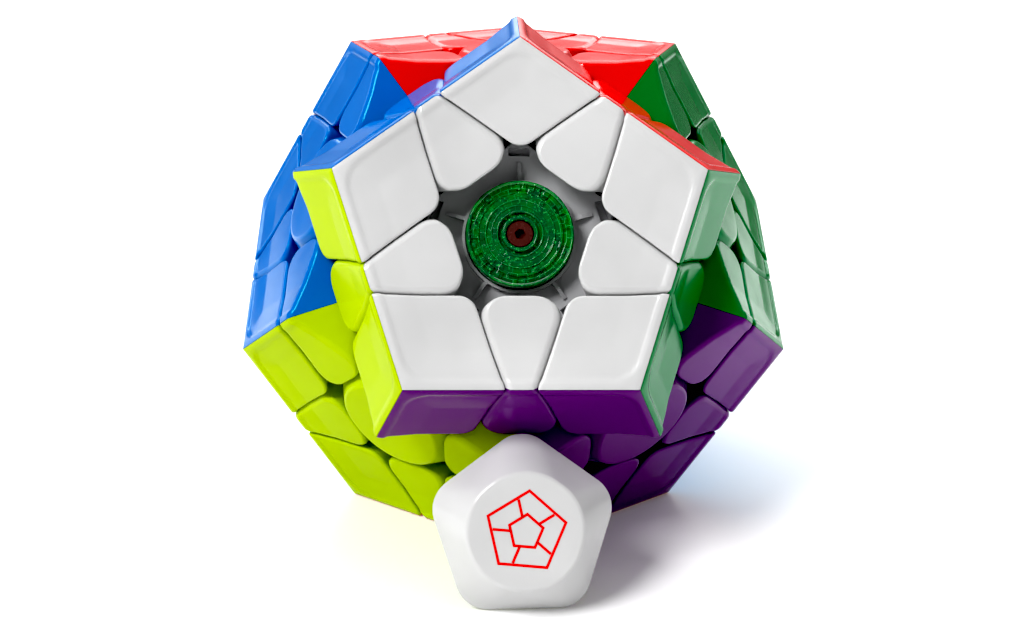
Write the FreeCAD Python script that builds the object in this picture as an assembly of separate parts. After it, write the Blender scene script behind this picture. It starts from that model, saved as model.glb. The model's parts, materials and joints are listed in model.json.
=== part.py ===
import FreeCAD, Part

import math
import os

from FreeCAD import Placement, Rotation, Vector

# Dodecahedron twisty puzzle, one layer turned by half a step, its centre cap taken off and leaned in front.
# Millimetres. Origin: centre of the face that it rests on. +Z up, the turned layer faces -Y.

# ---- driving dimensions -------------------------------------------------------------------------
EDGE = 36.3                 # one edge of the dodecahedron
CORNER_EDGE = 16.2          # how much of that edge one corner piece takes
HALF_GAP = 0.15             # each piece stands back this far from a cut between layers
SEAM = 0.03                 # each coloured shell stands back this far from the next shell of its piece
LAYER_TURN = -36.0          # degrees about the turned layer's outward axis

RIM_WIDTH = 1.4             # raised rim along the dodecahedron's edges
RIM_HEIGHT = 0.4            # how far a facet lies below its rim
RIM_CORNER = 5.0            # radius of the facet's corner inside the rim
CORNER_ROUND = 3.5          # inner upright edge of a corner piece
EDGE_ROUND = 3.8            # upright edges of an edge piece towards the centre cap

TRACK_TOP = 36.0            # radius where flat cuts turn into the conical stalk cuts
TRUNK_START = 34.0          # radius where trunks and tongues grow out of their feet
FOOT_TOP = 33.6             # outer radius of the feet
FOOT_BOTTOM = 29.0          # inner radius of the feet
FOOT_ANGLE = 46.0           # half angle of the cone that a layer's feet fill

CAP_HEIGHT = 7.0
CAP_WALL = 1.4
CAP_TOP_WALL = 1.6
CAP_FACE_IN = 9.5           # centre to flat side, at the cap's outer face
CAP_FACE_ROUND = 9.85       # radius of its rounded corners' cone, at the outer face
CAP_RIM_ROUND = 14.5        # the same at the rim
CAP_SEAT = 0.1              # the cap's rim stands this far off the centre base
TAB_WIDTH, TAB_THICK, TAB_DEPTH, TAB_RADIUS = 3.0, 1.0, 1.2, 13.9
TAB_PLAY = 0.2

DIAL_RADIUS = 8.5
DIAL_TOP_DEPTH = 3.7        # below the face plane
DIAL_THICK = 2.8
DIAL_PLAY = 0.15            # round the screw
DIAL_GROOVES = (3.6, 5.4, 7.2)
GROOVE_WIDTH, GROOVE_DEPTH = 0.5, 0.5
PLATE_BOTTOM = 29.6         # height of the tray's plate above the puzzle's centre
RING_PLAY, RING_THICK, RING_HEIGHT = 0.15, 0.45, 1.1
RING_ROOT = 0.5             # how deep the ring and ribs sink into the plate
RIB_THICK, RIB_REACH = 0.6, 12.2
RIB_TOE, RIB_SLOPE = 0.3, 1.8       # height of a rib's outer end, and length of the slope up from it
RIB_STEP = 0.1              # how far the ribs lie below the ring's top
HUB_BOTTOM, HUB_RADIUS_LOW, HUB_RADIUS_HIGH = 23.0, 6.0, 9.2
HUB_TOP = 32.3
HUB_FLOOR = 2.2

SPRING_RADIUS, SPRING_WIRE, SPRING_TURNS = 2.6, 0.35, 6
SPRING_PLAY = 0.35
SPRING_END_PLAY = 0.1
SCREW_RADIUS, SCREW_HEAD_RADIUS, SCREW_HEAD_THICK = 1.25, 2.05, 1.5
SCREW_HEAD_DEPTH = 4.1      # top of the head below the face plane
SCREW_TIP = 14.0
SCREW_HEX, SCREW_HEX_DEPTH = 1.5, 1.0       # its socket, across the flats
SCREW_NECK = 0.5            # how far the shank runs up into the head
SCREW_PLAY = 0.4
CORE_RADIUS, ARM_RADIUS, ARM_END = 11.0, 3.6, 22.6
THREAD_END_PLAY = 0.5
THREAD_PLAY = 0.05

TRUNK_RADIUS, TRUNK_END = 1.7, 42.5      # narrower than the neck of a corner's foot
TONGUE_THICK, TONGUE_LENGTH, TONGUE_END = 3.6, 8.0, 42.0
SOCKET_PLAY = 0.05
MAGNET_RADIUS, MAGNET_THICK, MAGNET_COVER, MAGNET_OUT = 2.0, 1.2, 0.8, 29.0
SHELL_WALL = 1.5
MAGNET_WALL = 2 * MAGNET_COVER + MAGNET_THICK       # the thicker walls that hold the magnets

CAP_LEAN = 21.0             # degrees that the loose cap leans back
CAP_YAW = 2.0
CAP_STAND = (0.7, -50.0)     # where the middle of its lowest side stands

FAR = 120.0                 # beyond everything
PAST = 1.0                  # how far a cutting solid runs past what it cuts
ON_PLANE = 1e-4

# ---- the dodecahedron ---------------------------------------------------------------------------
GOLDEN = (1 + math.sqrt(5)) / 2
INRADIUS = EDGE * GOLDEN**2 / (2 * math.sqrt(3 - GOLDEN))
FACE_IN = EDGE / (2 * math.tan(math.pi / 5))
TILT = math.degrees(math.atan(2))                   # between the axes of two adjacent faces
LIFT = math.degrees(math.atan(0.5))                 # of the upper ring's axes above the horizontal
CUT = INRADIUS - CORNER_EDGE * math.sqrt((5 + math.sqrt(5)) / 10)
STALK_ANGLE = math.degrees(math.acos(CUT / TRACK_TOP))
MIDDLE = Vector(0, 0, INRADIUS)                     # centre of the puzzle in the row frame

UP = Vector(0, 0, 1)

# name: azimuth from -Y towards +X, and elevation
FACES = {
    "red": (0, 90),
    "white": (0, LIFT),
    "green": (72, LIFT),
    "cream": (144, LIFT),
    "pink": (-144, LIFT),
    "blue": (-72, LIFT),
    "purple": (36, -LIFT),
    "light_blue": (108, -LIFT),
    "grey": (180, -LIFT),
    "light_green": (-108, -LIFT),
    "yellow": (-36, -LIFT),
    "orange": (0, -90),
}
TURNING = ("white", "pink")                         # layers that turn here: they share no piece


def axis_of(name):
    """Unit vector out of a face."""
    azimuth, elevation = (math.radians(a) for a in FACES[name])
    return Vector(
        math.sin(azimuth) * math.cos(elevation), -math.cos(azimuth) * math.cos(elevation), math.sin(elevation)
    )


def unit(v):
    return Vector(v).normalize()


def neighbour(k):
    """Axis of the k-th face around a face whose axis is +Z."""
    turn, tilt = math.radians(72 * k), math.radians(TILT)
    return Vector(math.sin(tilt) * math.cos(turn), math.sin(tilt) * math.sin(turn), math.cos(tilt))


# ---- solids to cut with -------------------------------------------------------------------------
def along(axis, across=None):
    """Rotation that takes +Z to axis, and +X as near to across as it can."""
    axis = unit(axis)
    guess = across if across is not None else (Vector(1, 0, 0) if abs(axis.x) < 0.9 else Vector(0, 1, 0))
    side = unit(guess - axis * guess.dot(axis))
    return Rotation(side, axis.cross(side), axis, "ZXY")


def slab(axis, low, high):
    """All points between two planes across axis, given as distances from the centre."""
    box = Part.makeBox(2 * FAR, 2 * FAR, high - low, Vector(-FAR, -FAR, low))
    box.Placement = Placement(Vector(), along(axis))
    return box


def rod(axis, radius, low, high, point=None):
    """Cylinder along an axis through point, between two distances along the axis."""
    axis = unit(axis)
    return Part.makeCylinder(radius, high - low, (point or Vector()) + axis * low, axis)


def overlap(first, *others):
    for other in others:
        first = first.common(other)
    return first


def pentagon_prism(inradius, low, high, round_radius=0.0):
    """Pentagon with its flat sides towards the neighbouring faces, its upright edges rounded."""
    radius = inradius / math.cos(math.pi / 5)
    turns = [math.radians(36 + 72 * k) for k in range(5)]
    points = [Vector(radius * math.cos(turn), radius * math.sin(turn), low) for turn in turns]
    prism = Part.Face(Part.makePolygon(points + points[:1])).extrude(Vector(0, 0, high - low))
    if round_radius:
        upright = [e for e in prism.Edges if abs(e.tangentAt(e.FirstParameter).z) > 0.9]
        prism = prism.makeFillet(round_radius, upright)
    return prism


def layer_region(grow):
    """Everything that turns with the layer of the face along +Z, its cuts moved out by grow."""

    def on_cone(angle, distance):
        """Point of a cone's offset line at this distance from the centre, as radius and height."""
        a = math.radians(angle)
        t = math.sqrt(distance**2 - grow**2)
        return Vector(t * math.sin(a) + grow * math.cos(a), 0, t * math.cos(a) - grow * math.sin(a))

    def arc(start, end):
        """Arc about the centre between two points at the same distance from it."""
        middle = unit(start + end) * start.Length
        return Part.Arc(start, middle, end).toShape()

    low, high, plane = FOOT_BOTTOM - grow, FOOT_TOP + grow, CUT - grow
    stalk = math.radians(STALK_ANGLE)
    t = (plane + grow * math.sin(stalk)) / math.cos(stalk)
    bend = Vector(t * math.sin(stalk) + grow * math.cos(stalk), 0, plane)
    inner, outer = on_cone(FOOT_ANGLE, low), on_cone(FOOT_ANGLE, high)
    neck = on_cone(STALK_ANGLE, high)
    rest = [bend, Vector(FAR, 0, plane), Vector(FAR, 0, FAR), Vector(0, 0, FAR), Vector(0, 0, low)]
    edges = [arc(Vector(0, 0, low), inner), Part.makeLine(inner, outer), arc(outer, neck)]
    edges += [Part.makeLine(a, b) for a, b in zip([neck] + rest, rest)]
    return Part.Face(Part.Wire(edges)).revolve(Vector(), UP, 360)


def turned_to(shape, axis):
    copy = shape.copy()
    copy.Placement = Placement(Vector(), along(axis))
    return copy


# ---- one of each piece, on the face along +Z ----------------------------------------------------
def round_upright(shape, radius, first, first_at, seconds, second_at):
    """Rounds the edges of a shape where one of its cut planes meets others."""

    def lies_on(edge, axis, distance):
        return all(abs(v.Point.dot(axis) - distance) < ON_PLANE for v in edge.Vertexes)

    upright = [
        e
        for e in shape.Edges
        if lies_on(e, first, first_at) and any(lies_on(e, axis, second_at) for axis in seconds)
    ]
    return shape.makeFillet(radius, upright)


def split_plane(k):
    """Axis across the plane through the centre and the dodecahedron edge shared with neighbour k."""
    return unit(UP - neighbour(k))


def magnet_place(face, edge_with, end, inside):
    """Centre of a magnet: on the split plane of one edge, this far inside or outside a cut across it."""
    middle = unit(face + edge_with)
    outward = unit(middle - end * middle.dot(end))
    step = HALF_GAP + MAGNET_COVER + MAGNET_THICK / 2
    return end * (CUT + (step if inside else -step)) + outward * MAGNET_OUT


def magnet(face, edge_with, end, inside, play=0.0):
    centre = magnet_place(face, edge_with, end, inside)
    half = MAGNET_THICK / 2 + play
    return rod(end, MAGNET_RADIUS + play, -half, half, centre)


def corner_shell():
    """Coloured shell of the corner between neighbours 0 and 1."""
    near, far = neighbour(0), neighbour(1)
    low = CUT + HALF_GAP
    shell = overlap(
        slab(UP, low, INRADIUS),
        slab(near, low, FAR),
        slab(far, low, FAR),
        slab(split_plane(0), SEAM, FAR),
        slab(split_plane(1), SEAM, FAR),
    )
    shell = round_upright(shell, CORNER_ROUND, near, low, (far,), low)
    shell = shell.cut(Part.makeSphere(TRACK_TOP + HALF_GAP))
    shell = shell.cut(pentagon_prism(FACE_IN - RIM_WIDTH, INRADIUS - RIM_HEIGHT, FAR, RIM_CORNER))
    tip = unit(UP + near + far)
    hollow = overlap(
        slab(UP, low, INRADIUS - RIM_HEIGHT - SHELL_WALL),
        slab(near, low + MAGNET_WALL, FAR),
        slab(far, low + MAGNET_WALL, FAR),
        slab(split_plane(0), -SHELL_WALL, FAR),
        slab(split_plane(1), -SHELL_WALL, FAR),
    )
    shell = shell.cut(hollow.cut(rod(tip, TRUNK_RADIUS + SHELL_WALL, 0, FAR)))
    shell = shell.cut(rod(tip, TRUNK_RADIUS + SOCKET_PLAY, 0, TRUNK_END + SOCKET_PLAY))
    for edge_with, end in ((near, far), (far, near)):
        shell = shell.cut(magnet(UP, edge_with, end, True, SOCKET_PLAY))
    return shell


def tongue(play=0.0):
    """Block of the edge's inner piece that its two shells close round."""
    middle = unit(UP + neighbour(0))
    thick, length = TONGUE_THICK / 2 + play, TONGUE_LENGTH / 2 + play
    height = TONGUE_END + play - TRUNK_START
    block = Part.makeBox(2 * length, 2 * thick, height, Vector(-length, -thick, TRUNK_START))
    block.Placement = Placement(Vector(), along(middle, UP.cross(neighbour(0))))
    return block


def edge_shell():
    """Coloured shell of the edge piece towards neighbour 0."""
    near, ends = neighbour(0), (neighbour(1), neighbour(4))
    low, high = CUT + HALF_GAP, CUT - HALF_GAP
    shell = overlap(
        slab(UP, low, INRADIUS),
        slab(near, low, FAR),
        slab(split_plane(0), SEAM, FAR),
        *(slab(end, -FAR, high) for end in ends),
    )
    shell = round_upright(shell, EDGE_ROUND, near, low, ends, high)
    shell = shell.cut(Part.makeSphere(TRACK_TOP + HALF_GAP))
    shell = shell.cut(pentagon_prism(FACE_IN - RIM_WIDTH, INRADIUS - RIM_HEIGHT, FAR, RIM_CORNER))
    hollow = overlap(
        slab(UP, low, INRADIUS - RIM_HEIGHT - SHELL_WALL),
        slab(near, low + SHELL_WALL, FAR),
        slab(split_plane(0), -SHELL_WALL, FAR),
        *(slab(end, -FAR, high - MAGNET_WALL) for end in ends),
    )
    shell = shell.cut(hollow.cut(tongue(SHELL_WALL)))
    shell = shell.cut(tongue(SOCKET_PLAY))
    for end in ends:
        shell = shell.cut(magnet(UP, near, end, False, SOCKET_PLAY))
    return shell


def foot(inside, outside):
    """The part of a piece between the feet's inner radius and the flat cuts."""
    solid = Part.makeSphere(TRACK_TOP)
    smaller, larger = layer_region(-HALF_GAP), layer_region(HALF_GAP)
    for axis in inside:
        solid = solid.common(turned_to(smaller, axis))
    for axis in outside:
        solid = solid.cut(turned_to(larger, axis))
    return solid


def corner_foot():
    faces = (UP, neighbour(0), neighbour(1))
    trunk = rod(unit(faces[0] + faces[1] + faces[2]), TRUNK_RADIUS, TRUNK_START, TRUNK_END)
    return foot(faces, ()).fuse(trunk).removeSplitter()


def edge_foot():
    return foot((UP, neighbour(0)), (neighbour(1), neighbour(4))).fuse(tongue()).removeSplitter()


def cap_body(inset, low, high):
    """Pentagon with flaring walls and conical corners, between two depths below the face plane."""
    corner_flare = (CAP_RIM_ROUND - CAP_FACE_ROUND) / CAP_HEIGHT
    side = CAP_FACE_IN - inset
    walls = []
    for k in range(5):
        axis = neighbour(k)
        # the wall runs along the neighbour's cut, through the point side out at the face plane
        walls.append(slab(axis, -FAR, axis.dot(Vector(0, 0, INRADIUS)) + side * math.sin(math.radians(TILT))))
    solid = overlap(slab(UP, INRADIUS - high, INRADIUS - low), *walls)
    top = CAP_FACE_ROUND - inset + corner_flare * low
    bottom = CAP_FACE_ROUND - inset + corner_flare * high
    cone = Part.makeCone(bottom, top, high - low, Vector(0, 0, INRADIUS - high))
    return solid.common(cone)


def tabs(play=0.0):
    """Five snap tabs under the corners of the cap's rim."""
    rim = INRADIUS - CAP_HEIGHT
    box = Part.makeBox(
        TAB_THICK + 2 * play,
        TAB_WIDTH + 2 * play,
        TAB_DEPTH + CAP_WALL,
        Vector(TAB_RADIUS - TAB_THICK / 2 - play, -TAB_WIDTH / 2 - play, rim - TAB_DEPTH),
    )
    found = []
    for k in range(5):
        one = box.copy()
        one.rotate(Vector(), UP, 36 + 72 * k)
        found.append(one)
    return found


def cap():
    solid = cap_body(0, 0, CAP_HEIGHT)
    solid = solid.cut(cap_body(CAP_WALL, CAP_TOP_WALL, CAP_HEIGHT + PAST))
    for tab in tabs():
        solid = solid.fuse(tab)
    return solid.removeSplitter()


def ring(inner, outer, low, high):
    return rod(UP, outer, low, high).cut(rod(UP, inner, low - PAST, high + PAST))


def centre_base():
    """Tray under a cap: plate, dial ring, ribs and the hub that holds the spring."""
    seat = INRADIUS - CAP_HEIGHT - CAP_SEAT
    base = pentagon_prism(FACE_IN, PLATE_BOTTOM, seat)
    larger = layer_region(HALF_GAP)
    hub = Part.makeCone(HUB_RADIUS_LOW, HUB_RADIUS_HIGH, HUB_TOP - HUB_BOTTOM, Vector(0, 0, HUB_BOTTOM))
    base = base.fuse(hub)
    for k in range(5):
        base = base.cut(turned_to(larger, neighbour(k)))
    inner = DIAL_RADIUS + RING_PLAY
    root, start = seat - RING_ROOT, inner + RING_THICK / 2
    base = base.fuse(ring(inner, inner + RING_THICK, root, seat + RING_HEIGHT))
    outline = [
        Vector(start, 0, root),
        Vector(RIB_REACH, 0, root),
        Vector(RIB_REACH, 0, seat + RIB_TOE),
        Vector(RIB_REACH - RIB_SLOPE, 0, seat + RING_HEIGHT - RIB_STEP),
        Vector(start, 0, seat + RING_HEIGHT - RIB_STEP),
    ]
    rib = Part.Face(Part.makePolygon(outline + outline[:1])).extrude(Vector(0, RIB_THICK, 0))
    rib.translate(Vector(0, -RIB_THICK / 2, 0))
    for k in range(5):
        one = rib.copy()
        one.rotate(Vector(), UP, 36 + 72 * k)
        base = base.fuse(one)
    for slot in tabs(TAB_PLAY):
        base = base.cut(slot)
    bore = SPRING_RADIUS + SPRING_WIRE + SPRING_PLAY
    base = base.cut(rod(UP, bore, HUB_BOTTOM + HUB_FLOOR, INRADIUS))
    base = base.cut(rod(UP, SCREW_RADIUS + SCREW_PLAY, HUB_BOTTOM - PAST, INRADIUS))
    return base.removeSplitter()


def dial():
    """Tension dial: a disc with a stepped hole and ring grooves."""
    top = INRADIUS - DIAL_TOP_DEPTH
    disc = rod(UP, DIAL_RADIUS, top - DIAL_THICK, top)
    head_seat = INRADIUS - SCREW_HEAD_DEPTH - SCREW_HEAD_THICK
    disc = disc.cut(rod(UP, SCREW_HEAD_RADIUS + DIAL_PLAY, head_seat, INRADIUS))
    disc = disc.cut(rod(UP, SCREW_RADIUS + DIAL_PLAY, 0, INRADIUS))
    for radius in DIAL_GROOVES:
        disc = disc.cut(ring(radius, radius + GROOVE_WIDTH, top - GROOVE_DEPTH, top + PAST))
    return disc


def screw():
    top = INRADIUS - SCREW_HEAD_DEPTH
    solid = rod(UP, SCREW_RADIUS, SCREW_TIP, top - SCREW_HEAD_THICK + SCREW_NECK)
    solid = solid.fuse(rod(UP, SCREW_HEAD_RADIUS, top - SCREW_HEAD_THICK + THREAD_PLAY, top))
    radius, floor = SCREW_HEX / math.sqrt(3), top - SCREW_HEX_DEPTH
    turns = [math.radians(60 * k) for k in range(6)]
    points = [Vector(radius * math.cos(turn), radius * math.sin(turn), floor) for turn in turns]
    socket = Part.Face(Part.makePolygon(points + points[:1])).extrude(Vector(0, 0, SCREW_HEX_DEPTH + PAST))
    return solid.cut(socket).removeSplitter()


def spring():
    low = HUB_BOTTOM + HUB_FLOOR + SPRING_WIRE + SPRING_END_PLAY
    high = INRADIUS - DIAL_TOP_DEPTH - DIAL_THICK - SPRING_WIRE - SPRING_END_PLAY
    helix = Part.makeHelix((high - low) / SPRING_TURNS, high - low, SPRING_RADIUS)
    start = Vector(SPRING_RADIUS, 0, 0)
    section = Part.Wire(Part.makeCircle(SPRING_WIRE, start, Vector(0, 1, 0)))
    coil = Part.Wire(helix.Edges).makePipeShell([section], True, True)
    coil = Part.Solid(coil) if coil.ShapeType != "Solid" else coil
    coil.translate(Vector(0, 0, low))
    return coil


def core():
    """Ball with twelve arms, each bored for a screw."""
    solid = Part.makeSphere(CORE_RADIUS)
    for name in FACES:
        solid = solid.fuse(rod(axis_of(name), ARM_RADIUS, 0, ARM_END))
    for name in FACES:
        bore = rod(axis_of(name), SCREW_RADIUS + THREAD_PLAY, SCREW_TIP - THREAD_END_PLAY, ARM_END + PAST)
        solid = solid.cut(bore)
    return solid.removeSplitter()


# ---- placing ------------------------------------------------------------------------------------
def reference_neighbour(name):
    """The first adjacent face, from which the places round a face are counted."""
    axis = axis_of(name)
    return next(n for n in FACES if n != name and abs(axis.dot(axis_of(n)) - 1 / math.sqrt(5)) < 1e-6)


def face_turn(name):
    return along(axis_of(name), axis_of(reference_neighbour(name)))


def face_along(direction):
    return max(FACES, key=lambda n: axis_of(n).dot(direction))


def around(name):
    """The five faces round a face, in the order of its places."""
    turn = face_turn(name)
    return [face_along(turn.multVec(neighbour(k))) for k in range(5)]


def body_of(faces):
    """Which body a piece belongs to, from the faces that it has a colour of."""
    for layer in TURNING:
        if layer in faces:
            return layer + "_layer"
    return "body"


def placed(shape, name, place, body):
    """Copy of a prototype at a face's place, in the row frame, turned with its layer."""
    copy = shape.copy()
    spin = Placement(Vector(), Rotation(UP, 72 * place))
    here = Placement(MIDDLE, face_turn(name))
    turn = Placement()
    if body == "white_layer":
        turn = Placement(Vector(), Rotation(axis_of("white"), LAYER_TURN), MIDDLE)
    copy.Placement = turn.multiply(here).multiply(spin).multiply(copy.Placement)
    return copy


def loose_cap(shape):
    """The white cap, standing on one side of its rim and leaning back."""
    lean = math.radians(CAP_LEAN)
    out = Vector(0, -math.cos(lean), math.sin(lean))
    down = Vector(0, -math.sin(lean), -math.cos(lean))
    yaw = Rotation(UP, CAP_YAW)
    turn = yaw.multiply(along(out, down))
    rim = CAP_FACE_IN + CAP_HEIGHT / math.tan(math.radians(TILT))
    foot_point = Vector(rim, 0, INRADIUS - CAP_HEIGHT)
    copy = shape.copy()
    here = Vector(CAP_STAND[0], CAP_STAND[1], 0) - turn.multVec(foot_point)
    copy.Placement = Placement(here, turn).multiply(copy.Placement)
    return copy


# ---- assembly -----------------------------------------------------------------------------------
def build():
    """All nodes, each with its list of solids."""
    nodes = {}

    def add(node, shape):
        nodes.setdefault(node, []).append(shape)

    shells = {"corner": corner_shell(), "edge": edge_shell()}
    feet = {"corner": corner_foot(), "edge": edge_foot()}
    one_cap, one_base, one_dial, one_screw, one_spring = cap(), centre_base(), dial(), screw(), spring()
    magnets = {
        "corner": magnet(UP, neighbour(0), neighbour(1), True),
        "near end": magnet(UP, neighbour(0), neighbour(1), False),
        "far end": magnet(UP, neighbour(0), neighbour(4), False),
    }

    seen = set()
    for name in FACES:
        ring_of = around(name)
        for k in range(5):
            pair = frozenset((name, ring_of[k]))
            trio = frozenset((name, ring_of[k], ring_of[(k + 1) % 5]))
            pair_body, trio_body = body_of(pair), body_of(trio)
            add(f"{pair_body}_{name}_shells", placed(shells["edge"], name, k, pair_body))
            add(f"{trio_body}_{name}_shells", placed(shells["corner"], name, k, trio_body))
            add(f"{trio_body}_corner_magnets", placed(magnets["corner"], name, k, trio_body))
            if pair not in seen:
                add(f"{pair_body}_edge_feet", placed(feet["edge"], name, k, pair_body))
                for end in ("near end", "far end"):
                    add(f"{pair_body}_edge_magnets", placed(magnets[end], name, k, pair_body))
            if trio not in seen:
                add(f"{trio_body}_corner_feet", placed(feet["corner"], name, k, trio_body))
            seen |= {pair, trio}

        own = body_of((name,))
        add("body_centre_bases" if own == "body" else f"{own}_centre_base", placed(one_base, name, 0, own))
        if name == "white":
            add("white_cap", loose_cap(one_cap))
            add("white_tension_dial", placed(one_dial, name, 0, own))
            add("white_screw", placed(one_screw, name, 0, own))
        else:
            add(f"{name}_cap", placed(one_cap, name, 0, own))
            add("tension_dials", placed(one_dial, name, 0, "body"))
            add("screws", placed(one_screw, name, 0, "body"))
        add("springs", placed(one_spring, name, 0, "body"))

    frame = core()
    frame.translate(MIDDLE)
    add("core", frame)
    return nodes


def main():
    os.makedirs("parts", exist_ok=True)
    for node, solids in build().items():
        shape = solids[0] if len(solids) == 1 else Part.makeCompound(solids)
        shape.exportStep(f"parts/{node}.step")
        bad = sum(not s.isValid() or len(s.Solids) != 1 for s in solids)
        print(f"{node}: {len(solids)} pieces, {sum(s.Volume for s in solids):.0f} mm3, {bad} bad")


main()
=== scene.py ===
"""Looks of a dodecahedron twisty puzzle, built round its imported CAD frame.

Every shell, cap, dial and tray is modelled once in millimetres on the face along +Z, with the puzzle's
centre at the origin, and copied to its places in the row frame, in metres.
"""

import json
import logging
import math
from collections.abc import Callable, Iterable
from dataclasses import dataclass, field, replace
from enum import Enum

import bmesh
import bpy
from mathutils import Matrix, Vector


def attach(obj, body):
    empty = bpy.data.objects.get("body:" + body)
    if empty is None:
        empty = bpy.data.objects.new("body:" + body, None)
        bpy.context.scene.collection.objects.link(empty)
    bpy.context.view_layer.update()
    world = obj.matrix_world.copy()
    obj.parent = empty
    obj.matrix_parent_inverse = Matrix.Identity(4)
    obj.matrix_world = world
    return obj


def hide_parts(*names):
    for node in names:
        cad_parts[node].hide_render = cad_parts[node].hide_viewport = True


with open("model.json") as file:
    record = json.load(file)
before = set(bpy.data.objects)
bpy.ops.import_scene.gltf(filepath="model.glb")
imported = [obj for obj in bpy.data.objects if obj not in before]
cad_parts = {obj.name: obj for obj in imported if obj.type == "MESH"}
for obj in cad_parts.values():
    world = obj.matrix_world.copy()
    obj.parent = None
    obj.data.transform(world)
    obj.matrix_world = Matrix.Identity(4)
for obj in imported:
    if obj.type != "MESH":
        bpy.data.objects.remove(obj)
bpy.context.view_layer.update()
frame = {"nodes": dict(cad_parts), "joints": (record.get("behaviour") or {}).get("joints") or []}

logging.basicConfig(level=logging.INFO, format="%(message)s")
log = logging.getLogger("twisty_puzzle")

MM = 0.001
UP = Vector((0, 0, 1))
TILT = math.atan(2)  # between the axes of two adjacent faces
LIFT = math.atan(0.5)  # of the upper ring's axes above the horizontal
SIDES = 5
ON_PLANE = 1e-3  # mm, within which a point counts as lying on a plane
ROUNDS = 24  # of correction, until a direction keeps to all its planes
LEAST_FALL = 0.05  # of a direction, below which a point stays where it is


class Face(Enum):
    """A face's colour, with its axis as azimuth from -Y towards +X and elevation, in degrees."""

    RED = ("red", 0.0, 90.0)
    WHITE = ("white", 0.0, math.degrees(LIFT))
    GREEN = ("green", 72.0, math.degrees(LIFT))
    CREAM = ("cream", 144.0, math.degrees(LIFT))
    PINK = ("pink", -144.0, math.degrees(LIFT))
    BLUE = ("blue", -72.0, math.degrees(LIFT))
    PURPLE = ("purple", 36.0, -math.degrees(LIFT))
    LIGHT_BLUE = ("light_blue", 108.0, -math.degrees(LIFT))
    GREY = ("grey", 180.0, -math.degrees(LIFT))
    LIGHT_GREEN = ("light_green", -108.0, -math.degrees(LIFT))
    YELLOW = ("yellow", -36.0, -math.degrees(LIFT))
    ORANGE = ("orange", 0.0, -90.0)

    @property
    def label(self) -> str:
        """The face's name in the CAD nodes."""
        return self.value[0]

    @property
    def axis(self) -> Vector:
        """Unit vector out of the face."""
        azimuth, elevation = math.radians(self.value[1]), math.radians(self.value[2])
        return Vector(
            (
                math.sin(azimuth) * math.cos(elevation),
                -math.cos(azimuth) * math.cos(elevation),
                math.sin(elevation),
            )
        )


class Body(Enum):
    """The CAD bodies that shells and caps ride on, with the prefix of their nodes."""

    FIXED = ("puzzle_body", "body")
    WHITE_LAYER = ("white_layer", "white_layer")
    PINK_LAYER = ("pink_layer", "pink_layer")

    @classmethod
    def of(cls, faces: Iterable[Face]) -> "Body":
        """The body of a piece that has these faces' colours."""
        if Face.WHITE in faces:
            return cls.WHITE_LAYER
        return cls.PINK_LAYER if Face.PINK in faces else cls.FIXED


# ---- materials ----------------------------------------------------------------------------------
def rgba(colour: tuple[float, ...], share: float = 1.0) -> tuple[float, ...]:
    """A linear colour, dimmed to a share of itself, as a socket takes it."""
    return tuple(c * share for c in colour) + (1.0,)


def add_node(tree: bpy.types.NodeTree, kind: str, inputs: dict | None = None, **settings) -> bpy.types.Node:
    """Adds a node to a tree.

    Args:
        tree: the tree.
        kind: the node's type, without its ShaderNode prefix.
        inputs: socket name or index to a value, or to the output that feeds it.
        settings: properties set on the node itself.

    Returns:
        The new node.
    """
    node = tree.nodes.new("ShaderNode" + kind)
    for key, value in settings.items():
        setattr(node, key, value)
    for key, value in (inputs or {}).items():
        if isinstance(value, bpy.types.NodeSocket):
            tree.links.new(value, node.inputs[key])
        else:
            node.inputs[key].default_value = value
    return node


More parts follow.
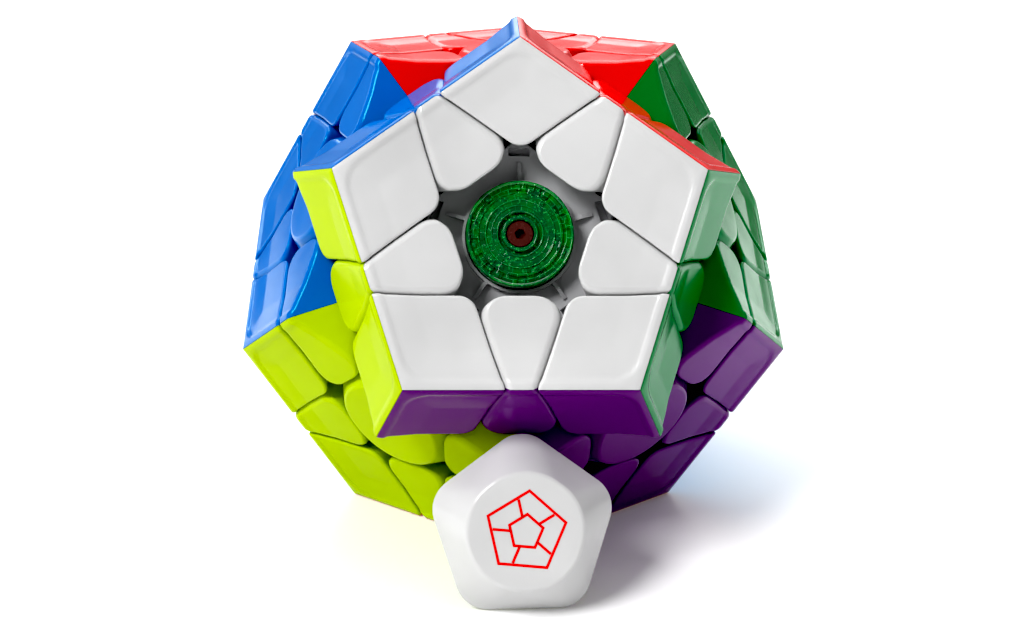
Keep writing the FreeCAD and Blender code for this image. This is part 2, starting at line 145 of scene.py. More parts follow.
class Nodes:
    """A material's node tree, with short ways to add and join nodes."""

    def __init__(self, name: str) -> None:
        """Starts an empty material with a Principled shader.

        Args:
            name: the material's name.
        """
        self.material = bpy.data.materials.new(name)
        self.material.use_nodes = True
        self.tree = self.material.node_tree
        self.shader = self.tree.nodes["Principled BSDF"]

    def add(self, kind: str, inputs: dict | None = None, **settings) -> bpy.types.Node:
        """Adds a node to this material, as add_node does."""
        return add_node(self.tree, kind, inputs, **settings)

    def set(self, **values: float | tuple | bpy.types.NodeSocket) -> None:
        """Sets or feeds the Principled shader's sockets.

        Args:
            values: socket name, its spaces as underscores, to a value or an output.
        """
        for key, value in values.items():
            socket = self.shader.inputs[key.replace("_", " ")]
            if isinstance(value, bpy.types.NodeSocket):
                self.tree.links.new(value, socket)
            else:
                socket.default_value = value

    def place(self, scale: float = 1.0) -> bpy.types.NodeSocket:
        """Object coordinates, times a scale per metre."""
        where = self.add("TexCoord").outputs["Object"]
        return self.add("Mapping", {"Vector": where, "Scale": (scale, scale, scale)}).outputs[0]

    def noise(self, where: bpy.types.NodeSocket, scale: float, detail: float = 2.0) -> bpy.types.NodeSocket:
        """One value of noise at a place."""
        return self.add("TexNoise", {"Vector": where, "Scale": scale, "Detail": detail}).outputs[0]

    def span(self, value: bpy.types.NodeSocket, low: float, high: float) -> bpy.types.NodeSocket:
        """Maps noise round one half to a range from low to high."""
        inputs = {"Value": value, "From Min": 0.3, "From Max": 0.7, "To Min": low, "To Max": high}
        return self.add("MapRange", inputs).outputs[0]

    def ramp(
        self,
        value: bpy.types.NodeSocket,
        low: tuple[float, ...],
        high: tuple[float, ...],
        start: float = 0.0,
        end: float = 1.0,
    ) -> bpy.types.NodeSocket:
        """Colours a value from low at start to high at end."""
        node = self.add("ValToRGB", {"Fac": value})
        for element, place, colour in zip(node.color_ramp.elements, (start, end), (low, high)):
            element.position, element.color = place, colour
        return node.outputs[0]

    def mix(
        self,
        amount: bpy.types.NodeSocket,
        first: bpy.types.NodeSocket | tuple,
        second: bpy.types.NodeSocket | tuple,
    ) -> bpy.types.NodeSocket:
        """Mixes two colours, each given as a value or an output."""
        node = self.add("Mix", data_type="RGBA")
        self.tree.links.new(amount, next(s for s in node.inputs if s.name == "Factor" and s.type == "VALUE"))
        for name, colour in (("A", first), ("B", second)):
            socket = next(s for s in node.inputs if s.name == name and s.type == "RGBA")
            if isinstance(colour, bpy.types.NodeSocket):
                self.tree.links.new(colour, socket)
            else:
                socket.default_value = colour
        return next(s for s in node.outputs if s.type == "RGBA")

    def bump(self, height: bpy.types.NodeSocket, strength: float, distance: float) -> bpy.types.NodeSocket:
        """A normal from a height."""
        inputs = {"Height": height, "Strength": strength, "Distance": distance}
        return self.add("Bump", inputs).outputs[0]


@dataclass(frozen=True)
class GlossPlastic:
    """Polished moulded plastic, coloured all through.

    Attributes:
        name: the material's name.
        colour: its linear base colour.
        roughness: its mean roughness.
        depth: how far light goes under its surface, as the shader's subsurface weight.
        sheen: colour of its reflections.
        gloss: strength of its reflections, as the shader's level.
    """

    name: str
    colour: tuple[float, float, float]
    roughness: float = 0.16
    depth: float = 0.12
    sheen: tuple[float, float, float] = (1.0, 1.0, 1.0)
    gloss: float = 0.34

    def make(self) -> bpy.types.Material:
        """Builds the material: flow marks in its colour, hazy handling marks, and faint ripple."""
        nodes = Nodes(self.name)
        where = nodes.place(1.0)
        flow = nodes.span(nodes.noise(where, 45.0, 3.0), 0.0, 1.0)
        light = tuple(min(1.0, c * 1.03 + 0.004) for c in self.colour) + (1.0,)
        tint = nodes.mix(flow, rgba(self.colour, 0.90), light)
        haze = nodes.noise(where, 160.0, 4.0)
        rough = nodes.span(haze, self.roughness * 0.75, self.roughness * 1.35)
        ripple = nodes.noise(where, 260.0, 1.0)
        nodes.set(
            Base_Color=tint,
            Roughness=rough,
            Normal=nodes.bump(ripple, 0.04, 0.0001),
            IOR=1.53,
            Specular_IOR_Level=self.gloss,
            Specular_Tint=rgba(self.sheen),
            Subsurface_Weight=self.depth,
            Subsurface_Radius=(1.0, 1.0, 1.0),
            Subsurface_Scale=0.0012,
        )
        return nodes.material


@dataclass(frozen=True)
class SatinPlastic:
    """Plain moulded plastic of the inner pieces.

    Attributes:
        name: the material's name.
        colour: its linear base colour.
        roughness: its mean roughness.
    """

    name: str
    colour: tuple[float, float, float]
    roughness: float = 0.4

    def make(self) -> bpy.types.Material:
        """Builds the material: fine moulded grain and uneven sheen."""
        nodes = Nodes(self.name)
        where = nodes.place(1.0)
        cloud = nodes.noise(where, 90.0, 3.0)
        nodes.set(
            Base_Color=nodes.ramp(cloud, rgba(self.colour, 0.85), rgba(self.colour), 0.3, 0.7),
            Roughness=nodes.span(nodes.noise(where, 300.0, 2.0), self.roughness * 0.8, self.roughness * 1.2),
            Normal=nodes.bump(nodes.noise(where, 2500.0, 2.0), 0.12, 0.00005),
        )
        return nodes.material


@dataclass(frozen=True)
class Metal:
    """Plated or oxidised metal.

    Attributes:
        name: the material's name.
        colour: its linear base colour.
        roughness: its mean roughness.
        grain: scratches per metre.
        metallic: how much of it shines as bare metal.
    """

    name: str
    colour: tuple[float, float, float]
    roughness: float = 0.3
    grain: float = 1500.0
    metallic: float = 1.0

    def make(self) -> bpy.types.Material:
        """Builds the material: uneven sheen and fine scratches."""
        nodes = Nodes(self.name)
        where = nodes.place(1.0)
        scratch = nodes.noise(where, self.grain, 3.0)
        cloud = nodes.noise(where, 400.0, 2.0)
        nodes.set(
            Base_Color=nodes.ramp(cloud, rgba(self.colour, 0.7), rgba(self.colour)),
            Metallic=self.metallic,
            Roughness=nodes.span(scratch, self.roughness * 0.7, self.roughness * 1.3),
            Normal=nodes.bump(scratch, 0.15, 0.00003),
        )
        return nodes.material


@dataclass(frozen=True)
class ClearPlastic:
    """Clear tinted plastic of the tension dials, with rings and cells moulded inside it.

    Attributes:
        name: the material's name.
        deep: linear colour of its dark cells.
        tint: linear colour of its light cells.
        middle: linear colour of its middle.
        painted_glint: linear colour of the walls between cells.
        centre: a point on the dial's axis, in metres.
        axis: which way the dial faces.
        clear: how much light it lets through.
        arc_radius: radius in millimetres at which its cells have their true width.
    """

    name: str
    deep: tuple[float, float, float]
    tint: tuple[float, float, float]
    middle: tuple[float, float, float]
    painted_glint: tuple[float, float, float]
    centre: tuple[float, float, float] = (0.0, 0.0, 0.0)
    axis: tuple[float, float, float] = (0.0, 0.0, 1.0)
    clear: float = 0.12
    arc_radius: float = 6.6

    def polar(self, nodes: Nodes) -> tuple[bpy.types.NodeSocket, bpy.types.NodeSocket]:
        """Measures round the dial's axis.

        Args:
            nodes: the material's nodes.

        Returns:
            The radius, and arc and radius as a vector, all in millimetres.
        """
        axis = Vector(self.axis).normalized()
        across = axis.orthogonal().normalized()
        where = nodes.add("TexCoord").outputs["Object"]
        off = nodes.add("VectorMath", {0: where, 1: self.centre}, operation="SUBTRACT").outputs[0]
        legs = [
            nodes.add("VectorMath", {0: off, 1: tuple(leg / MM)}, operation="DOT_PRODUCT").outputs["Value"]
            for leg in (across, axis.cross(across))
        ]
        flat = nodes.add("CombineXYZ", {0: legs[0], 1: legs[1]}).outputs[0]
        radius = nodes.add("VectorMath", {0: flat}, operation="LENGTH").outputs["Value"]
        turn = nodes.add("Math", {0: legs[1], 1: legs[0]}, operation="ARCTAN2").outputs[0]
        arc = nodes.add("Math", {0: turn, 1: self.arc_radius}, operation="MULTIPLY").outputs[0]
        return radius, nodes.add("CombineXYZ", {0: arc, 1: radius}).outputs[0]

    def make(self) -> bpy.types.Material:
        """Builds the material: rings of cells with painted highlights on their walls, and fine painted
        glints, under a polished skin.
        """
        nodes = Nodes(self.name)
        radius, round_it = self.polar(nodes)
        where = nodes.place(1.0)
        bent = nodes.add("TexNoise", {"Vector": where, "Scale": 700.0, "Detail": 2.0}).outputs["Color"]
        shift = nodes.add("VectorMath", {0: bent, 1: (0.5, 0.25, 0.0)}, operation="MULTIPLY").outputs[0]
        moved = nodes.add("VectorMath", {0: round_it, 1: shift}, operation="ADD").outputs[0]
        # painted highlight: the mortar between the bricks, which marks the walls between cells, takes the
        # bright glint colour
        bricks = nodes.add(
            "TexBrick",
            {
                "Vector": moved,
                "Color1": rgba(self.deep),
                "Color2": rgba(self.tint),
                "Mortar": rgba(self.painted_glint),
                "Scale": 1.0,
                "Mortar Size": 0.07,
                "Mortar Smooth": 0.8,
                "Bias": 0.1,
                "Brick Width": 1.55,
                "Row Height": 0.93,
            },
            offset=0.37,
            offset_frequency=2,
            squash=1.5,
            squash_frequency=3,
        )
        cloud = nodes.noise(where, 420.0, 4.0)
        soft = nodes.add("MapRange", {"Value": cloud, "From Min": 0.35, "From Max": 0.65}).outputs[0]
        patchy = nodes.mix(soft, bricks.outputs["Color"], rgba(self.middle))
        fade = {"Value": radius, "From Min": 4.5, "From Max": 7.0, "To Min": 0.6, "To Max": 0.0}
        body = nodes.mix(nodes.add("MapRange", fade).outputs[0], patchy, rgba(self.middle))
        # painted glints: fine sparks in the bright glint colour, mixed into the base colour in cloudy
        # patches
        spark = nodes.add("TexVoronoi", {"Vector": where, "Scale": 4200.0}).outputs["Color"]
        lucky = nodes.add("SeparateColor", {0: spark}).outputs[0]
        chosen = nodes.add("MapRange", {"Value": lucky, "From Min": 0.84, "From Max": 0.94}).outputs[0]
        lit = nodes.add("Math", {0: chosen, 1: soft}, operation="MULTIPLY").outputs[0]
        mixed = nodes.mix(lit, body, rgba(self.painted_glint))
        nodes.set(
            Base_Color=mixed,
            Roughness=nodes.span(cloud, 0.08, 0.22),
            Normal=nodes.bump(bricks.outputs["Fac"], 0.4, 0.0001),
            IOR=1.49,
            Transmission_Weight=self.clear,
            Coat_Weight=0.4,
            Coat_Roughness=0.05,
        )
        return nodes.material


@dataclass(frozen=True)
class TableTop:
    """Plain pale table surface.

    Attributes:
        name: the material's name.
        grey: its linear brightness near the object.
        far_grey: its linear brightness far away.
        glow: light that comes up through it.
        fade: from where to where it darkens, in metres from the origin.
    """

    name: str
    grey: float = 0.9
    far_grey: float = 0.16
    glow: float = 0.06
    fade: tuple[float, float] = (0.95, 1.5)

    def make(self) -> bpy.types.Material:
        """Builds the material: a matt, faintly cloudy surface that darkens far away from the object."""
        nodes = Nodes(self.name)
        where = nodes.place(1.0)
        grey = (self.grey,) * 3
        near = nodes.ramp(nodes.noise(where, 8.0, 2.0), rgba(grey, 0.99), rgba(grey))
        away = nodes.add("VectorMath", {0: where}, operation="LENGTH").outputs["Value"]
        start, end = self.fade
        far = nodes.add("MapRange", {"Value": away, "From Min": start, "From Max": end}).outputs[0]
        glow = nodes.add("MapRange", {"Value": far, "To Min": self.glow, "To Max": 0.0}).outputs[0]
        nodes.set(
            Base_Color=nodes.mix(far, near, rgba((self.far_grey,) * 3)),
            Roughness=0.6,
            Specular_IOR_Level=0.2,
            Emission_Color=(1.0, 1.0, 1.0, 1.0),
            Emission_Strength=glow,
        )
        return nodes.material


Finish = GlossPlastic | SatinPlastic | Metal | ClearPlastic

PLASTICS = {
    Face.RED: GlossPlastic("red_plastic", (0.72, 0.006, 0.006), sheen=(1.0, 0.9, 0.88), gloss=0.4),
    Face.WHITE: GlossPlastic("white_plastic", (0.60, 0.60, 0.60)),
    Face.GREEN: GlossPlastic("green_plastic", (0.0, 0.20, 0.035), sheen=(0.08, 0.95, 0.70), gloss=0.26),
    Face.CREAM: GlossPlastic("cream_plastic", (0.62, 0.50, 0.24)),
    Face.PINK: GlossPlastic("pink_plastic", (0.70, 0.10, 0.24), sheen=(1.0, 0.8, 0.9)),
    Face.BLUE: GlossPlastic("blue_plastic", (0.0, 0.13, 0.46), sheen=(0.12, 0.95, 0.95), gloss=0.26),
    Face.PURPLE: GlossPlastic("purple_plastic", (0.100, 0.0, 0.15), sheen=(0.9, 0.45, 1.0)),
    Face.LIGHT_BLUE: GlossPlastic("light_blue_plastic", (0.06, 0.34, 0.66), sheen=(0.7, 0.9, 1.0)),
    Face.GREY: GlossPlastic("grey_plastic", (0.17, 0.18, 0.20)),
    Face.LIGHT_GREEN: GlossPlastic("light_green_plastic", (0.14, 0.55, 0.05), sheen=(0.8, 1.0, 0.7)),
    Face.YELLOW: GlossPlastic("yellow_plastic", (0.40, 0.54, 0.0), sheen=(1.0, 0.9, 0.02), gloss=0.06),
    Face.ORANGE: GlossPlastic("orange_plastic", (0.80, 0.14, 0.003), sheen=(1.0, 0.85, 0.6)),
}
TRAY_FINISH = GlossPlastic("tray_plastic", (0.42, 0.42, 0.43), 0.32, 0.0)
INNER_FINISH = SatinPlastic("inner_plastic", (0.02, 0.02, 0.022))
# tension dial plastic; its last colour is a painted highlight, used for the bright cell walls and the fine
# glints
DIAL_FINISH = ClearPlastic(
    "dial_plastic", (0.0, 0.045, 0.02), (0.004, 0.26, 0.02), (0.0, 0.105, 0.042), (0.06, 0.55, 0.12)
)
SCREW_FINISH = Metal("screw_steel", (0.13, 0.045, 0.04), 0.25, metallic=0.3)
SPRING_FINISH = Metal("spring_steel", (0.55, 0.55, 0.57), 0.25)
MAGNET_FINISH = Metal("magnet_nickel", (0.70, 0.69, 0.66), 0.2)
PRINT_FINISH = GlossPlastic("cap_print", (0.75, 0.0, 0.0), 0.3, 0.0)


# ---- the dodecahedron ---------------------------------------------------------------------------
@dataclass(frozen=True)
class Dodecahedron:
    """Where the faces and cuts are, in millimetres, with the centre at the origin.

    Attributes:
        inradius: from the centre to a face.
        corner_edge: how much of an edge one corner piece takes.
        gap: how far each piece stands back from a cut.
        seam: how far each shell stands back from the next shell of its piece.
    """

    inradius: float
    corner_edge: float = 16.2
    gap: float = 0.10
    seam: float = 0.03

    @property
    def edge(self) -> float:
        """One edge of the dodecahedron."""
        golden = (1 + math.sqrt(5)) / 2
        return self.inradius * 2 * math.sqrt(3 - golden) / golden**2

    @property
    def face_inradius(self) -> float:
        """From a face's centre to its edges."""
        return self.edge / (2 * math.tan(math.pi / SIDES))

    @property
    def cut(self) -> float:
        """From the centre to the plane under a layer."""
        return self.inradius - self.corner_edge * math.sqrt((5 + math.sqrt(5)) / 10)

    @staticmethod
    def neighbour(place: int) -> Vector:
        """Axis of the face at a place round the face along +Z."""
        turn = 2 * math.pi * place / SIDES
        return Vector(
            (math.sin(TILT) * math.cos(turn), math.sin(TILT) * math.sin(turn), math.cos(TILT))
        )

    @classmethod
    def split(cls, place: int) -> Vector:
        """Axis across the plane through the centre and the edge shared with a neighbour."""
        return (UP - cls.neighbour(place)).normalized()


@dataclass
class Placing:
    """Takes a piece from the face along +Z to its place in the row frame.

    Attributes:
        centre: the puzzle's centre, in metres.
        turn: what the half-turned layer is turned by.
    """

    centre: Vector
    turn: Matrix = field(default_factory=lambda: Matrix.Rotation(math.radians(-36), 4, Face.WHITE.axis))

    @staticmethod
    def reference(face: Face) -> Face:
        """The adjacent face from which places are counted."""
        near = 1 / math.sqrt(5)
        return next(f for f in Face if abs(f.axis.dot(face.axis) - near) < 1e-6)

    @classmethod
    def facing(cls, face: Face) -> Matrix:
        """Rotation that takes +Z to a face's axis and place 0 to its reference neighbour."""
        axis = face.axis
        other = cls.reference(face).axis
        side = (other - axis * axis.dot(other)).normalized()
        return Matrix((side, axis.cross(side), axis)).transposed().to_4x4()

    @classmethod
    def around(cls, face: Face) -> list[Face]:
        """The five faces round a face, in the order of its places."""
        rotation = cls.facing(face)
        ring = [rotation @ Dodecahedron.neighbour(k) for k in range(SIDES)]
        return [max(Face, key=lambda f, d=direction: f.axis.dot(d)) for direction in ring]

    def matrix(self, face: Face, place: int, body: Body) -> Matrix:
        """From millimetres on the face along +Z to metres in the row frame.

        Args:
            face: the face that the piece is on.
            place: which of its five places.
            body: the body that the piece belongs to.

        Returns:
            The whole transform, which also turns the half-turned layer.
        """
        spin = Matrix.Rotation(2 * math.pi * place / SIDES, 4, "Z")
        turn = self.turn if body is Body.WHITE_LAYER else Matrix.Identity(4)
        return Matrix.Translation(self.centre) @ turn @ self.facing(face) @ spin @ Matrix.Scale(MM, 4)


# ---- mesh work ----------------------------------------------------------------------------------
def trim(bm: bmesh.types.BMesh, point: Vector, outward: Vector) -> None:
    """Cuts away what lies beyond a plane and closes the cut.

    Args:
        bm: a closed mesh.
        point: a point on the plane.
        outward: the side that goes.
    """
    whole = bm.verts[:] + bm.edges[:] + bm.faces[:]
    cut = bmesh.ops.bisect_plane(
        bm, geom=whole, dist=1e-5, plane_co=point, plane_no=outward, clear_outer=True
    )
    rim = [g for g in cut["geom_cut"] if isinstance(g, bmesh.types.BMEdge)]
    bmesh.ops.holes_fill(bm, edges=rim, sides=0)


def block(planes: list[tuple[Vector, float]], size: float = 160.0) -> bmesh.types.BMesh:
    """A convex block bounded by planes.

    Args:
        planes: outward axis of each plane and its distance from the centre.
        size: side of the cube that it is cut from.

    Returns:
        The block.
    """
    bm = bmesh.new()
    bmesh.ops.create_cube(bm, size=size)
    for axis, distance in planes:
        trim(bm, axis * distance, axis)
    return bm


def on_plane(element: bmesh.types.BMEdge | bmesh.types.BMFace, axis: Vector, distance: float) -> bool:
    """Whether all of an edge or face lies on a plane."""
    return all(abs(v.co.dot(axis) - distance) < ON_PLANE for v in element.verts)


def soften(bm: bmesh.types.BMesh, edges: list[bmesh.types.BMEdge], offset: float, segments: int) -> None:
    """Rounds edges of a mesh.

    Args:
        bm: the mesh.
        edges: the edges to round.
        offset: how far the round reaches into the faces beside an edge.
        segments: its steps.
    """
    bmesh.ops.bevel(
        bm,
        geom=edges,
        offset=offset,
        offset_type="OFFSET",
        segments=segments,
        profile=0.5,
        affect="EDGES",
        material=-1,
        clamp_overlap=False,
    )


def finish_piece(
    bm: bmesh.types.BMesh, name: str, sharp: float = 40.0, weighted: bool = True
) -> bpy.types.Object:
    """Turns a mesh into a piece in the scene.

    Args:
        bm: the mesh, in metres in the row frame; it is freed.
        name: the piece's name.
        sharp: edges that turn by more than this, in degrees, stay sharp.
        weighted: whether large faces keep flat shading beside their rounds.

    Returns:
        The piece.
    """
    mesh = bpy.data.meshes.new(name)
    bm.to_mesh(mesh)
    bm.free()
    mesh.shade_smooth()
    mesh.set_sharp_from_angle(angle=math.radians(sharp))
    piece = bpy.data.objects.new(name, mesh)
    bpy.context.scene.collection.objects.link(piece)
    if weighted:
        modifier = piece.modifiers.new("flat_faces", "WEIGHTED_NORMAL")
        modifier.keep_sharp = True
        modifier.weight = 80
    return piece


def gather(parts: list[tuple[bpy.types.Mesh, Matrix]]) -> bmesh.types.BMesh:
    """Copies prototypes to their places in one mesh.

    Args:
        parts: each prototype with its transform.

    Returns:
        The joined mesh.
    """
    bm = bmesh.new()
    for mesh, matrix in parts:
        before = len(bm.verts)
        bm.from_mesh(mesh)
        bm.verts.ensure_lookup_table()
        bmesh.ops.transform(bm, matrix=matrix, verts=bm.verts[before:])
    return bm


def as_mesh(bm: bmesh.types.BMesh, name: str) -> bpy.types.Mesh:
    """Stores a prototype, with its faces outwards."""
    bmesh.ops.recalc_face_normals(bm, faces=bm.faces[:])
    mesh = bpy.data.meshes.new(name)
    bm.to_mesh(mesh)
    bm.free()
    return mesh


# ---- the shells ---------------------------------------------------------------------------------
@dataclass
class Facet:
    """The dished outer face that the shells of one face share.

    Attributes:
        solid: the dodecahedron.
        rim: width of the raised rim along its edges.
        corner: radius of the dish's corners.
        step: drop just inside the rim.
        step_width: how wide that drop is.
        bowl: further drop towards the middle.
        bowl_width: how far in from the rim the bowl deepens.
        fine: spacing of the mesh where the dish turns.
        shoulder: how far the rim falls away to the dodecahedron's edges.
        hold: how near to a cut the dish starts to follow the cut's plane.
        skin: how deep below the face plane a shell's mesh still belongs to its outer face.
        facing: least upward part of the normal of such a mesh face.
        outer_cuts: where the mesh is cut on the rim.
        coarse: spacing of the mesh in the flat middle.
    """

    solid: Dodecahedron
    rim: float = 1.25
    corner: float = 5.0
    step: float = 0.28
    step_width: float = 0.65
    bowl: float = 0.48
    bowl_width: float = 8.0
    fine: float = 0.42
    shoulder: float = 0.22
    hold: float = 2.0
    skin: float = 1.6
    facing: float = 0.15
    outer_cuts: tuple[float, ...] = (0.2, 0.5)
    coarse: float = 1.3

    @staticmethod
    def direction(place: int) -> Vector:
        """From the face's centre to one of its sides."""
        turn = 2 * math.pi * place / SIDES
        return Vector((math.cos(turn), math.sin(turn), 0))

    def inside(self, point: Vector) -> float:
        """How far a point lies inside the dish's rounded outline."""
        small = self.solid.face_inradius - self.rim - self.corner
        along = [point.dot(self.direction(k)) - small for k in range(SIDES)]
        nearest = max(range(SIDES), key=lambda k: along[k])
        across = point.dot(UP.cross(self.direction(nearest)))
        half = small * math.tan(math.pi / SIDES)
        spare = max(0.0, abs(across) - half)
        return self.corner - math.hypot(max(0.0, along[nearest]), spare)

    def drop(self, point: Vector) -> float:
        """How far the facet lies below the face plane at a point."""

        def ease(value: float) -> float:
            """Rises smoothly from 0 to 1."""
            value = min(1.0, max(0.0, value))
            return value * value * (3 - 2 * value)

        depth = self.inside(point)
        inset = self.solid.face_inradius - max(point.dot(self.direction(k)) for k in range(SIDES))
        fall = self.shoulder * max(0.0, 1.0 - inset / self.rim) ** 2
        return fall + self.step * ease(depth / self.step_width) + self.bowl * ease(depth / self.bowl_width)

    def inward(self, point: Vector) -> Vector:
        """Which way a point is pressed in, so that it doesn't cross the split and cut planes beside it.

        Args:
            point: the point.

        Returns:
            Its move for each millimetre of depth: along a plane that it lies on, or straight down.
        """
        holds = []
        for place in range(SIDES):
            split, near = self.solid.split(place), self.solid.neighbour(place)
            if abs(point.dot(split) - self.solid.seam) < ON_PLANE:
                holds.append((split, 1.0))
            off = abs(abs(point.dot(near) - self.solid.cut) - self.solid.gap)
            if off < self.hold:
                holds.append((near, 1.0 - off / self.hold))
        way = UP.copy()
        for _ in range(ROUNDS):
            for normal, share in holds:
                way -= normal * (way.dot(normal) - (1.0 - share) * normal.z)
        return -way / way.z if way.z > LEAST_FALL else Vector()

    def cuts(self) -> list[float]:
        """Distances in from a side at which the facet's mesh is cut."""
        near = list(self.outer_cuts) + [self.rim + self.fine * k for k in range(-1, 16)]
        return near + [near[-1] + self.coarse * k for k in range(1, 8)]

    def dish(self, bm: bmesh.types.BMesh, places: tuple[int, ...]) -> None:
        """Cuts a shell's outer face finely along some sides and presses the dish into it.

        Args:
            bm: the shell.
            places: the sides that the cuts run along.
        """
        bottom = self.solid.inradius - self.skin
        for place in places:
            axis = self.direction(place)
            for distance in self.cuts():
                faces = [f for f in bm.faces if f.calc_center_median().z > bottom]
                faces = [f for f in faces if f.normal.z > self.facing]
                bm.normal_update()
                around = {e for f in faces for e in f.edges} | {v for f in faces for v in f.verts}
                bmesh.ops.bisect_plane(
                    bm,
                    geom=list(faces) + list(around),
                    dist=1e-4,
                    plane_co=axis * (self.solid.face_inradius - distance),
                    plane_no=axis,
                )
        for vert in bm.verts:
            if vert.co.z > bottom:
                vert.co += self.inward(vert.co) * self.drop(vert.co)

    def finish(self, bm: bmesh.types.BMesh, places: tuple[int, ...], lip: float, steps: int = 4) -> None:
        """Rounds a shell's outer edges, apart from those at its piece's seams, and dishes its face.

        Args:
            bm: the shell.
            places: the sides where it meets the other shells of its piece.
            lip: reach of the round.
            steps: its steps.
        """
        seams = [(self.solid.split(k), self.solid.seam) for k in places]
        outer = [e for e in bm.edges if on_plane(e, UP, self.solid.inradius)]
        lips = [e for e in outer if not any(on_plane(e, axis, at) for axis, at in seams)]
        soften(bm, lips, lip, steps)
        self.dish(bm, places)


@dataclass
class CornerShell:
    """One of a corner piece's three shells, between neighbours 0 and 1.

    Attributes:
        solid: the dodecahedron.
        facet: its outer face.
        inner_round: reach of the round on its upright inner edge.
        lip: reach of the round between its outer face and its cut sides.
        floor: from the centre to its inner end, along the corner.
        steps: of the round on its inner edge.
    """

    solid: Dodecahedron
    facet: Facet
    inner_round: float = 2.55
    lip: float = 0.8
    floor: float = 36.2
    steps: int = 10

    def make(self) -> bpy.types.Mesh:
        """Models the shell: block, rounded inner edge, soft lips, dish."""
        near, far = self.solid.neighbour(0), self.solid.neighbour(1)
        low, top = self.solid.cut + self.solid.gap, self.solid.inradius
        tip = (UP + near + far).normalized()
        bm = block([(UP, top), (-UP, -low), (-near, -low), (-far, -low)])
        upright = [e for e in bm.edges if on_plane(e, near, low) and on_plane(e, far, low)]
        soften(bm, upright, self.inner_round, self.steps)
        for place in (0, 1):
            trim(bm, self.solid.split(place) * self.solid.seam, -self.solid.split(place))
        trim(bm, tip * self.floor, -tip)
        self.facet.finish(bm, (0, 1), self.lip)
        return as_mesh(bm, "corner_shell")


@dataclass
class EdgeShell:
    """One of an edge piece's two shells, towards neighbour 0.

    Attributes:
        solid: the dodecahedron.
        facet: its outer face.
        inner_round: reach of the rounds on its upright edges by the centre cap.
        lip: reach of the round between its outer face and its cut sides.
        floor: from the centre to its inner end, along the edge's middle.
        root: height above the centre of the block that it is cut from.
        steps: of the rounds on its inner edges.
    """

    solid: Dodecahedron
    facet: Facet
    inner_round: float = 4.7
    lip: float = 0.8
    floor: float = 34.5
    root: float = 20.0
    steps: int = 12

    def make(self) -> bpy.types.Mesh:
        """Models the shell: block, petal-shaped inner end, soft lips, dish."""
        near, ends = self.solid.neighbour(0), (self.solid.neighbour(1), self.solid.neighbour(4))
        low, high = self.solid.cut + self.solid.gap, self.solid.cut - self.solid.gap
        middle = (UP + near).normalized()
        sides = [(-near, -low), (ends[0], high), (ends[1], high)]
        bm = block([(UP, self.solid.inradius), (-UP, -self.root)] + sides)
        inner = [e for e in bm.edges if on_plane(e, near, low)]
        upright = [e for e in inner if any(on_plane(e, end, high) for end in ends)]
        soften(bm, upright, self.inner_round, self.steps)
        trim(bm, self.solid.split(0) * self.solid.seam, -self.solid.split(0))
        trim(bm, middle * self.floor, -middle)
        self.facet.finish(bm, (0,), self.lip)
        return as_mesh(bm, "edge_shell")


